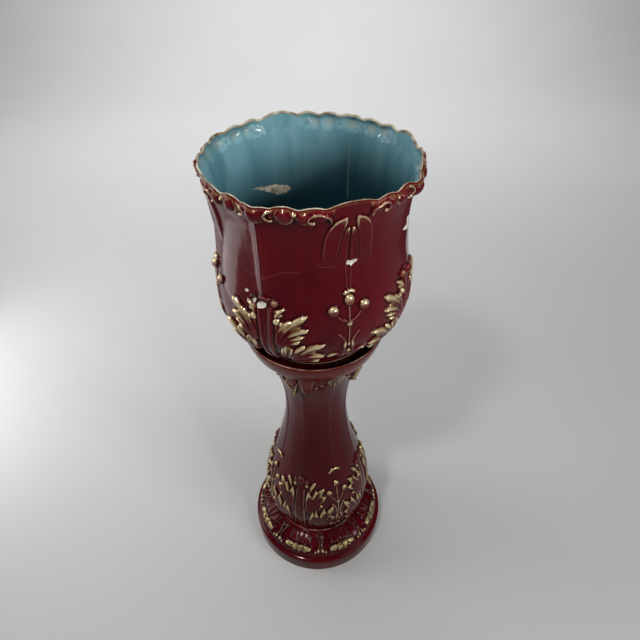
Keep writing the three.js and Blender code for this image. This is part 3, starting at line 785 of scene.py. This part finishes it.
def place_stand(deg, s):
    r, z, nr, nz = STAND.at(s)
    d = deg - STAND_TURN
    rib, mid = fold(d, 45), fold(d, 0)
    one = np.ones_like(deg)
    lay = {}
    dr, dn, dz = 0 * one, 0 * one, 0 * one
    if s <= SM[2]:
        lay["bare"] = one
        return r + dr, np.maximum(z + dz, 0.05), lay
    if s < SM[2] + 4:
        lay["bare"] = one * float(1 - smooth(SM[2] + 0.4, SM[2] + 2.5, s))
    if s <= SM[3]:
        dr += 0.5 * ripple(deg, z, 4.4) * smooth(0, 20, z)
        # Painted highlight: a pale line along the plinth's rounded shoulder.
        lay["thin"] = one * float(0.60 * gauss(s - SM[3] + 6.0, 1.9))
        lay["warm"] = 0.25 * one
    elif s <= SM[4]:
        x = fold(d, 0, 45.0) + 0.3 * ripple(deg, z, 6.1)
        dn += TORUS_RELIEF.read("h", x, s) * float(smooth(SM[3], SM[3] + 4, s) * (1 - smooth(SM[4] - 3, SM[4], s)))
        lay["gild"], lay["thin"], lay["pool"] = (TORUS_RELIEF.read(n, x, s) for n in ("g", "thin", "pool"))
        lay["pool"] = np.clip(lay["pool"] * 1.2 + 0.30, 0, 1)
    elif s <= SM[6]:
        # Painted highlight: a pale cream line along the bead ring, in the edge and lip-cream layers.
        ring = float(gauss(s - STAND.find(85.4, SM[4], SM[5]), 1.5))
        lay["thin"] = one * ring
        lay["lip"] = one * 0.55 * ring
        # Painted shade in the undercut groove between the bead ring and the body.
        lay["pool"] = one * float(0.55 * smooth(SM[5], SM[5] + 2, s))
    elif s <= SM[7]:
        x = rib + 0.4 * ripple(deg, z, 2.7)
        v = s + 0.5 * ripple(deg, z, 0.7)
        edge = float(smooth(SB0, SB0 + 3, s))
        dn += BODY_RELIEF.read("h", x, v) * edge * float(1 - 0.9 * smooth(588, 618, z))
        # a fine fillet runs round under the leaves, with a painted highlight along it
        fillet_and_highlight = float(gauss(s - S_FILLET, 1.3))
        dn += 1.0 * fillet_and_highlight
        # the shaft is softly four-cornered
        shaft = float(smooth(270, 340, z) * (1 - smooth(530, 575, z)))
        dr += shaft * (0.9 * gauss(rib, 4.0) + 1.6 * gauss(rib, 16) - 0.9 * gauss(mid, 22) + 0.25 * gauss(fold(d, 0, 22.5), 3.5))
        dr += 0.6 * ripple(deg, z, 1.9)
        lay["gild"] = BODY_RELIEF.read("g", x, v) * edge
        lay["thin"] = np.clip(BODY_RELIEF.read("thin", x, v) + 0.10 * shaft * gauss(rib, 2.2) + 0.85 * fillet_and_highlight, 0, 1)
        # Painted shade on the lower bulb, which curves in under the leaves.
        lay["pool"] = np.clip(BODY_RELIEF.read("pool", x, v) + 0.4 * float(1 - smooth(SB0, S_FILLET - 3, s)), 0, 1)
        # under the dish the glaze runs redder, down to a scalloped line
        line = np.interp(np.abs(rib), NECK_LINE[:, 0], NECK_LINE[:, 1])
        lay["warm"] = 1.25 * smooth(-1.5, 1.5, z - line)
        dn += 0.9 * smooth(-2, 2, z - line) * float(smooth(540, 550, z) * (1 - smooth(585, 615, z)))
    elif s <= SM[8]:
        dr += 0.5 * ripple(deg, z, 3.1)
        # Painted highlight: a pale line along the dish's rounded top edge.
        top = float(gauss(s - S_DISH, 1.7))
        lay["thin"] = one * (0.9 * top)
        lay["lip"] = one * (0.62 * top)
        lay["warm"] = one * 0.9
        # Painted shade: dark inside the dish rim.
        lay["pool"] = one * float(smooth(S_DISH + 1.6, S_DISH + 3.4, s))
    else:
        # Painted shade over the top that stands under the jardiniere.
        lay["pool"] = one
    return r + dr + dn * nr, np.maximum(z + dz + dn * nz, 0.05), lay


def stand_rows():
    a, b, c = BODY_UP(304), BODY_UP(322), BODY_UP(542)
    rows = [(0.0, 1)]
    rows += ladder([(12, SM[0], 12, 128), (SM[0], SM[0] + 5, 2.5, 128), (SM[0] + 5, SM[1] - 140, 16, 128), (SM[1] - 140, SM[1], 6, 128)])[:-1]
    rows += ladder([(SM[1], SM[2], 1.2, 256), (SM[2], SM[2] + 6, 1.5, 256), (SM[2] + 6, SM[3] - 16, 7, 256)])[:-1]
    rows += ladder([(SM[3] - 16, SM[3], 1.2, 512), (SM[3], SM[4], 0.95, 512), (SM[4], SM[6], 0.85, 512), (SB0, BODY_UP(124), 2.4, 512), (BODY_UP(124), a, 1.2, 512), (a, b, 1.4, 512)])[:-1]
    rows += ladder([(b, c, 4.5, 512), (c, SM[7], 1.5, 512), (SM[7], SM[8], 1.4, 512)])[:-1]
    rows += ladder([(SM[8], SM[8] + 6, 1.5, 256), (SM[8] + 6, SM[9] - 14, 9, 256)])
    rows.append((SM[9], 1))
    return rows


pot = revolve("jardiniere_glazed", pot_rows(), place_pot)
stand = revolve("pedestal_glazed", stand_rows(), place_stand)


# ================================================================== materials
class Tree:
    """Short hands for a node material."""

    def __init__(self, name):
        self.mat = bpy.data.materials.new(name)
        self.mat.use_nodes = True
        self.t = self.mat.node_tree
        self.t.nodes.clear()
        self.out = self.t.nodes.new("ShaderNodeOutputMaterial")
        self.bsdf = self.t.nodes.new("ShaderNodeBsdfPrincipled")
        self.t.links.new(self.bsdf.outputs[0], self.out.inputs[0])
        self.coord = self.t.nodes.new("ShaderNodeTexCoord").outputs["Object"]

    def put(self, node, socket, value):
        s = node.inputs[socket]
        if hasattr(value, "node"):
            self.t.links.new(value, s)
        else:
            s.default_value = value
        return node

    def attr(self, name):
        n = self.t.nodes.new("ShaderNodeAttribute")
        n.attribute_name = name
        return n.outputs["Fac"]

    def noise(self, scale, detail=3.0, rough=0.5, stretch=(1, 1, 1), seed=0.0, distort=0.0):
        m = self.t.nodes.new("ShaderNodeMapping")
        self.put(m, "Vector", self.coord)
        m.inputs["Scale"].default_value = stretch
        m.inputs["Location"].default_value = (seed, seed * 0.7, seed * 1.3)
        n = self.t.nodes.new("ShaderNodeTexNoise")
        self.put(n, "Vector", m.outputs[0])
        n.inputs["Scale"].default_value = scale
        n.inputs["Detail"].default_value = detail
        n.inputs["Roughness"].default_value = rough
        n.inputs["Distortion"].default_value = distort
        return n.outputs["Fac"]

    def ramp(self, fac, stops):
        n = self.t.nodes.new("ShaderNodeValToRGB")
        self.put(n, "Fac", fac)
        e = n.color_ramp.elements
        while len(e) < len(stops):
            e.new(0.5)
        for el, (p, c) in zip(e, stops):
            el.position = p
            el.color = (*c, 1) if len(c) == 3 else c
        return n.outputs["Color"]

    def range(self, value, a, b, c=0.0, d=1.0, smooth_it=True):
        n = self.t.nodes.new("ShaderNodeMapRange")
        if smooth_it:
            n.interpolation_type = "SMOOTHSTEP"
        self.put(n, "Value", value)
        for k, v in zip(("From Min", "From Max", "To Min", "To Max"), (a, b, c, d)):
            n.inputs[k].default_value = v
        return n.outputs[0]

    def math(self, op, a, b=None, clamp=False):
        n = self.t.nodes.new("ShaderNodeMath")
        n.operation = op
        n.use_clamp = clamp
        for i, v in enumerate((a, b)):
            if v is None:
                continue
            if hasattr(v, "node"):
                self.t.links.new(v, n.inputs[i])
            else:
                n.inputs[i].default_value = v
        return n.outputs[0]

    def mix(self, fac, a, b, mode="MIX"):
        n = self.t.nodes.new("ShaderNodeMix")
        n.data_type = "RGBA"
        n.blend_type = mode
        n.clamp_factor = True
        for i, v in ((0, fac), (6, a), (7, b)):
            if hasattr(v, "node"):
                self.t.links.new(v, n.inputs[i])
            elif i:
                n.inputs[i].default_value = (*v, 1)
            else:
                n.inputs[i].default_value = v
        return n.outputs[2]

    def bump(self, height, distance, strength=1.0, normal=None):
        n = self.t.nodes.new("ShaderNodeBump")
        n.inputs["Strength"].default_value = strength
        n.inputs["Distance"].default_value = distance
        self.put(n, "Height", height)
        if normal is not None:
            self.put(n, "Normal", normal)
        return n.outputs[0]


def burgundy(t, k):
    """Deep red glaze: darker where it has run thick, redder where it is thin."""
    broad = t.noise(6.0, 3, 0.55, (1, 1, 0.55), 1.7)
    drip = t.noise(26.0, 3, 0.5, (1, 1, 0.16), 4.2, 0.4)
    fleck = t.noise(420.0, 2, 0.5, (1, 1, 1), 9.1)
    tone = t.math("ADD", t.math("MULTIPLY", broad, 0.6), t.math("MULTIPLY", drip, 0.4))
    stops = [(0.30, (0.052, 0.0020, 0.0050)), (0.52, (0.102, 0.0034, 0.0084)), (0.72, (0.150, 0.0054, 0.0112))]
    c = t.ramp(tone, [(at, tuple(v * k for v in colour)) for at, colour in stops])
    c = t.mix(t.range(fleck, 0.58, 0.80, 0, 0.35), c, (0.026, 0.0018, 0.003))
    return c, broad, drip


def ochre(t, k):
    n = t.noise(95.0, 3, 0.6, (1, 1, 1), 6.3)
    stops = [(0.30, (0.140, 0.082, 0.026)), (0.50, (0.300, 0.202, 0.078)), (0.72, (0.500, 0.370, 0.170))]
    return t.ramp(n, [(at, tuple(v * k for v in colour)) for at, colour in stops])


def glaze_material(name, with_inside):
    t = Tree(name)
    # The pedestal gets a darker copy of these colours (red x0.66, ochre x0.50, darker edge, warm and pale ochre):
    # painted shade for the lower piece, which stands in less light.
    red, broad, drip = burgundy(t, 1.0 if with_inside else 0.66)
    gold = ochre(t, 1.0 if with_inside else 0.50)
    thin, pool, gild = t.attr("thin"), t.attr("pool"), t.attr("gild")
    rub = t.noise(70.0, 4, 0.65, (1, 1, 1), 3.3)
    fine = t.noise(260.0, 3, 0.6, (1, 1, 1), 1.1)
    # warmer, redder brown under the lip and round the dish
    warm = t.mix(t.range(t.math("ADD", t.attr("warm"), t.math("MULTIPLY", t.math("SUBTRACT", broad, 0.5), 0.5)), 0.15, 1.1, 0, 0.80), red, (0.150, 0.011, 0.0090) if with_inside else (0.135, 0.012, 0.0090))
    # thin glaze on edges
    # glaze running pale where it is thinned on edges, and painted highlight lines that share its layer: along the ribs,
    # the plinth shoulder, the bead ring, the fillet and the dish's top edge
    edge = t.range(t.math("ADD", thin, t.math("MULTIPLY", t.math("SUBTRACT", rub, 0.5), 0.5)), 0.30, 1.0, 0, 0.75)
    c = t.mix(edge, warm, (0.235, 0.062, 0.048) if with_inside else (0.165, 0.048, 0.036))
    # pooled glaze in hollows, and painted shade in the pedestal's undercuts, inside the dish, under the jardiniere and
    # beside the inner creases
    c = t.mix(t.range(pool, 0.20, 0.95, 0, 0.72), c, (0.013, 0.0020, 0.0034))
    # ochre: brushed over the raised parts, wiped out of the hollows
    g = t.math("SUBTRACT", t.math("ADD", gild, t.math("MULTIPLY", thin, 0.40)), t.math("MULTIPLY", pool, 0.75))
    g = t.math("ADD", g, t.math("MULTIPLY", t.math("SUBTRACT", rub, 0.5), 0.50))
    gmask = t.math("MULTIPLY", t.range(g, 0.20, 0.92), t.range(gild, 0.04, 0.20))
    # Ochre paler on raised edges, and a painted highlight on the gold.
    pale_ochre_and_highlight = t.mix(t.range(thin, 0.16, 0.85, 0, 0.85), gold, (0.86, 0.70, 0.44) if with_inside else (0.60, 0.48, 0.25))
    c = t.mix(t.math("MULTIPLY", gmask, 0.92), c, pale_ochre_and_highlight)
    rough = t.range(t.noise(38.0, 2, 0.5, (1, 1, 1), 2.2), 0.25, 0.75, 0.075, 0.135, False)
    rough = t.math("ADD", rough, t.math("MULTIPLY", gmask, 0.07))
    # fine crazing
    craze = t.t.nodes.new("ShaderNodeTexVoronoi")
    craze.feature = "DISTANCE_TO_EDGE"
    t.put(craze, "Vector", t.coord)
    craze.inputs["Scale"].default_value = 130.0
    if with_inside:
        # sea-blue inside: streaks run down the wall; darker low down and towards +X, a painted shadow of the rim inside
        # the bowl
        streak = t.noise(30.0, 4, 0.55, (1, 1, 0.07), 8.8, 0.3)
        cloud = t.noise(9.0, 3, 0.5, (1, 1, 0.5), 5.5)
        mixv = t.math("ADD", t.math("MULTIPLY", streak, 0.55), t.math("MULTIPLY", cloud, 0.45))
        blue = t.ramp(mixv, [(0.30, (0.095, 0.250, 0.300)), (0.50, (0.180, 0.370, 0.430)), (0.70, (0.290, 0.500, 0.560))])
        z = t.t.nodes.new("ShaderNodeSeparateXYZ")
        t.put(z, 0, t.coord)
        # Painted shadow: the bowl darkens with depth, deeper on the +X side, where the rim's shadow falls inside.
        level = t.math("SUBTRACT", z.outputs["Z"], t.math("MULTIPLY", z.outputs["X"], 0.34))
        inner_painted_shade = t.range(t.math("ADD", level, t.math("MULTIPLY", t.math("SUBTRACT", cloud, 0.5), 0.03)), 0.798, 0.962, 0.97, 0.0)
        blue = t.mix(inner_painted_shade, blue, (0.008, 0.040, 0.056))
        # Darker where glaze pools, and painted shade beside each inner crease.
        blue = t.mix(t.range(pool, 0.12, 0.8, 0, 0.8), blue, (0.024, 0.075, 0.110))
        # Paler where the glaze is thinned, and the painted highlight line down each inner crease.
        blue = t.mix(t.range(thin, 0.05, 0.8, 0, 0.6), blue, (0.36, 0.42, 0.38))
        blue = t.mix(t.range(craze.outputs["Distance"], 0.0, 0.035, 0.13, 0.0), blue, (0.014, 0.040, 0.052))
        inside = t.attr("inside")
        c = t.mix(inside, c, blue)
    # lip: cream where the glaze has run thin over the clay
    lipn = t.noise(55.0, 3, 0.6, (1, 1, 1), 7.7)
    cream = t.ramp(lipn, [(0.32, (0.170, 0.110, 0.060)), (0.47, (0.42, 0.36, 0.24)), (0.66, (0.68, 0.64, 0.49))])
    lip = t.math("ADD", t.attr("lip"), t.math("MULTIPLY", t.math("SUBTRACT", lipn, 0.5), 0.7))
    c = t.mix(t.range(lip, 0.35, 0.80, 0, 0.92), c, cream)
    # hairline cracks
    crack = t.math("ABSOLUTE", t.math("SUBTRACT", t.attr("crack"), 0.5))
    crack = t.math("MULTIPLY", t.range(crack, 0.014, 0.050, 1.0, 0.0), t.attr("split"))
    c = t.mix(t.math("MULTIPLY", crack, 0.70), c, (0.26, 0.10, 0.085))
    # chips down to pale body, and the bare foot
    chip_rough = t.math("ADD", 0.16, t.math("MULTIPLY", t.attr("inside"), 0.75))
    chip = t.range(t.math("ADD", t.attr("chip"), t.math("MULTIPLY", t.math("SUBTRACT", fine, 0.5), chip_rough)), 0.485, 0.525)
    clay = t.ramp(t.noise(140.0, 4, 0.6, (1, 1, 1), 0.4), [(0.3, (0.72, 0.64, 0.55)), (0.7, (0.92, 0.89, 0.82))])
    if with_inside:
        clay = t.mix(t.attr("inside"), clay, t.ramp(rub, [(0.38, (0.16, 0.15, 0.10)), (0.50, (0.44, 0.39, 0.29)), (0.64, (0.66, 0.60, 0.48))]))
    c = t.mix(chip, c, clay)
    bare = t.attr("bare")
    biscuit = t.ramp(t.noise(24.0, 4, 0.6, (1, 1, 1), 3.9), [(0.3, (0.34, 0.25, 0.16)), (0.7, (0.56, 0.46, 0.33))])
    baremask = t.range(t.math("ADD", bare, t.math("MULTIPLY", t.math("SUBTRACT", rub, 0.5), 0.3)), 0.40, 0.62)
    c = t.mix(baremask, c, biscuit)
    dry = t.math("MAXIMUM", chip, baremask)
    rough = t.math("ADD", t.math("MULTIPLY", rough, t.math("SUBTRACT", 1.0, dry)), t.math("MULTIPLY", dry, 0.78))
    t.put(t.bsdf, "Base Color", c)
    t.put(t.bsdf, "Roughness", rough)
    t.bsdf.inputs["IOR"].default_value = 1.5
    t.bsdf.inputs["Specular IOR Level"].default_value = 0.12
    t.put(t.bsdf, "Metallic", t.math("MULTIPLY", gmask, 0.42))
    # orange-peel of the glaze
    n1 = t.bump(t.noise(34.0, 2, 0.4, (1, 1, 0.6), 2.9), 0.0011, 0.42)
    n2 = t.bump(t.noise(210.0, 2, 0.5, (1, 1, 1), 5.9), 0.00012, 0.5, n1)
    t.put(t.bsdf, "Normal", n2)
    return t.mat


pot.data.materials.append(glaze_material("glaze_jardiniere", True))
stand.data.materials.append(glaze_material("glaze_pedestal_painted_shade", False))

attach(pot, "jardiniere")
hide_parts("jardiniere")
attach(stand, "pedestal")
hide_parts("pedestal")


# ================================================================== floor, light, camera
VIEW_TURN = -18.9  # the camera's azimuth round the object, in degrees


def turned(x, y, z):
    """A point given in the camera's own frame (it looks along +Y), turned to the object's frame."""
    a = math.radians(VIEW_TURN)
    return (x * math.cos(a) - y * math.sin(a), x * math.sin(a) + y * math.cos(a), z)


def floor_material():
    t = Tree("floor_pale")
    n = t.noise(2.2, 4, 0.55)
    c = t.ramp(n, [(0.3, (0.489, 0.489, 0.491)), (0.7, (0.502, 0.502, 0.502))])
    t.put(t.bsdf, "Base Color", c)
    t.bsdf.inputs["Roughness"].default_value = 0.75
    return t.mat


def sweep():
    """Pale floor that rises in one curve into a wall far behind, turned to face the camera."""
    section = [(-6.0, 0.0), (3.0, 0.0)]
    section += [(3.0 + 2.0 * math.sin(a), 2.0 - 2.0 * math.cos(a)) for a in (math.radians(7.5 * i) for i in range(1, 13))]
    section.append((5.0, 7.0))
    verts = [turned(x, y, z) for x in (-9.0, 9.0) for y, z in section]
    n = len(section)
    faces = [(i, n + i, n + i + 1, i + 1) for i in range(n - 1)]
    mesh = bpy.data.meshes.new("floor")
    mesh.from_pydata(verts, [], faces)
    mesh.polygons.foreach_set("use_smooth", np.ones(len(faces), bool))
    ob = bpy.data.objects.new("floor", mesh)
    bpy.context.scene.collection.objects.link(ob)
    mesh.materials.append(floor_material())
    return ob


sweep()


def area(name, at, look, size, power, colour=(1, 1, 1), shape="RECTANGLE"):
    light = bpy.data.lights.new(name, "AREA")
    light.shape = shape
    light.size, light.size_y = size
    light.energy = power
    light.color = colour
    ob = bpy.data.objects.new(name, light)
    ob.location = at
    d = Vector(look) - Vector(at)
    ob.rotation_euler = d.to_track_quat("-Z", "Y").to_euler()
    bpy.context.scene.collection.objects.link(ob)
    return ob


area("window_left", turned(-2.1, 0.35, 1.45), (0, 0, 0.70), (0.9, 1.3), 15, (1.0, 0.985, 0.965))
area("window_right", turned(2.0, -1.3, 1.75), (0, 0, 0.70), (0.8, 0.8), 22, (1.0, 0.995, 0.98))
area("overhead", turned(-0.1, 0.1, 2.8), (0, 0, 0.5), (1.4, 1.2), 9, (1, 1, 1))
area("key", turned(-0.70, -0.95, 2.5), (0, 0, 0.7), (0.22, 0.22), 17, (1.0, 0.99, 0.97), "SQUARE")
area("key_right", turned(1.20, -1.45, 1.72), (0, 0, 0.85), (0.15, 0.15), 9, (1.0, 1.0, 1.0), "SQUARE")
area("card_left", turned(-1.175, 0.375, 0.41), turned(-0.175, 0.691, 0.41), (0.79, 0.80), 4.2, (1.0, 1.0, 1.0))
area("floor_left", turned(-1.5, 1.7, 1.9), turned(-1.2, 1.3, 0.0), (1.2, 1.2), 10, (1.0, 1.0, 1.0))
area("backdrop_wash", turned(0.0, 2.4, 2.7), turned(0.0, 4.4, 0.4), (4.0, 0.9), 125, (1.0, 1.0, 1.0))

world = bpy.data.worlds.new("room")
bpy.context.scene.world = world
world.use_nodes = True
bg = world.node_tree.nodes["Background"]
bg.inputs["Color"].default_value = (0.80, 0.82, 0.85, 1)
bg.inputs["Strength"].default_value = 0.09

# camera solved from the outlines in the photograph
HT = 0.950
cam_data = bpy.data.cameras.new("camera")
cam_data.sensor_fit = "HORIZONTAL"
cam_data.sensor_width = 36.0
cam_data.lens = 36.0 * 500.0 / 640.0
cam_data.clip_start = 0.02
cam = bpy.data.objects.new("camera", cam_data)
bpy.context.scene.collection.objects.link(cam)
PITCH, YAW, ROLL = 0.7336924257796321, 0.01641543869105247, -0.011341850843714323
f = Vector((math.sin(YAW) * math.cos(PITCH), math.cos(YAW) * math.cos(PITCH), -math.sin(PITCH)))
r = Vector((math.cos(YAW), -math.sin(YAW), 0))
u = r.cross(f)
r2 = math.cos(ROLL) * r + math.sin(ROLL) * u
u2 = -math.sin(ROLL) * r + math.cos(ROLL) * u
m = Matrix(((r2.x, u2.x, -f.x), (r2.y, u2.y, -f.y), (r2.z, u2.z, -f.z))).to_4x4()
m.translation = Vector((0, -0.6688631191549652 * HT, 1.2930868882562354 * HT))
cam.matrix_world = Matrix.Rotation(math.radians(VIEW_TURN), 4, "Z") @ m
bpy.context.scene.camera = cam
bpy.context.scene.view_settings.view_transform = "Standard"
